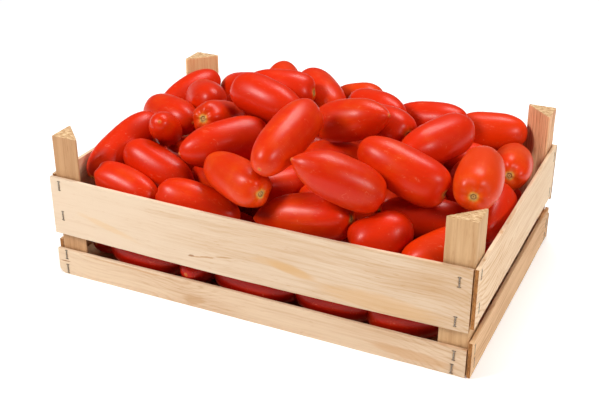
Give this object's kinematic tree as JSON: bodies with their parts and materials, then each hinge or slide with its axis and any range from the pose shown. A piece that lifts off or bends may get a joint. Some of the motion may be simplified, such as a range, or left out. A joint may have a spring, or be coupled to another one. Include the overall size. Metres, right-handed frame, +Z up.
{
  "type": "tomatoes in a wooden crate",
  "caption": "Plum tomatoes heaped in a shallow wooden crate with slatted sides and triangular corner posts for stacking.",
  "frame": {"origin": "centre of the crate's footprint, on the surface it stands on", "axes": "+X along the long side, +Y towards the back, +Z up"},
  "size_m": [0.4, 0.274, 0.1854],
  "materials": {
    "board_wood": "thin sawn softwood boards, pale cream to tan, unfinished",
    "post_wood": "sawn triangular posts, tan with vertical grain, unfinished",
    "floor_wood": "sawn slats and battens, unfinished",
    "tomato_skin": "smooth waxy red skin, soft gloss"
  },
  "bodies": {
    "root": {"board_front_lower": "board_wood", "board_front_upper": "board_wood", "board_back_lower": "board_wood", "board_back_upper": "board_wood", "board_left_lower": "board_wood", "board_left_upper": "board_wood", "board_right_lower": "board_wood", "board_right_upper": "board_wood", "post_front_left": "post_wood", "post_front_right": "post_wood", "post_back_left": "post_wood", "post_back_right": "post_wood", "floor": "floor_wood", "tomato_01": "tomato_skin", "tomato_02": "tomato_skin", "tomato_03": "tomato_skin", "tomato_04": "tomato_skin", "tomato_05": "tomato_skin", "tomato_06": "tomato_skin", "tomato_07": "tomato_skin", "tomato_08": "tomato_skin", "tomato_09": "tomato_skin", "tomato_10": "tomato_skin", "tomato_11": "tomato_skin", "tomato_12": "tomato_skin", "tomato_13": "tomato_skin", "tomato_14": "tomato_skin", "tomato_15": "tomato_skin", "tomato_16": "tomato_skin", "tomato_17": "tomato_skin", "tomato_18": "tomato_skin", "tomato_19": "tomato_skin", "tomato_20": "tomato_skin", "tomato_21": "tomato_skin", "tomato_22": "tomato_skin", "tomato_23": "tomato_skin", "tomato_24": "tomato_skin", "tomato_25": "tomato_skin", "tomato_26": "tomato_skin", "tomato_27": "tomato_skin", "tomato_28": "tomato_skin", "tomato_29": "tomato_skin", "tomato_30": "tomato_skin", "tomato_31": "tomato_skin", "tomato_32": "tomato_skin", "tomato_33": "tomato_skin", "tomato_34": "tomato_skin", "tomato_35": "tomato_skin", "tomato_36": "tomato_skin", "tomato_37": "tomato_skin", "tomato_38": "tomato_skin", "tomato_39": "tomato_skin", "tomato_40": "tomato_skin", "tomato_41": "tomato_skin", "tomato_42": "tomato_skin", "tomato_43": "tomato_skin", "tomato_44": "tomato_skin", "tomato_45": "tomato_skin", "tomato_46": "tomato_skin", "tomatoes_below": "tomato_skin"}
  },
  "joints": []
}
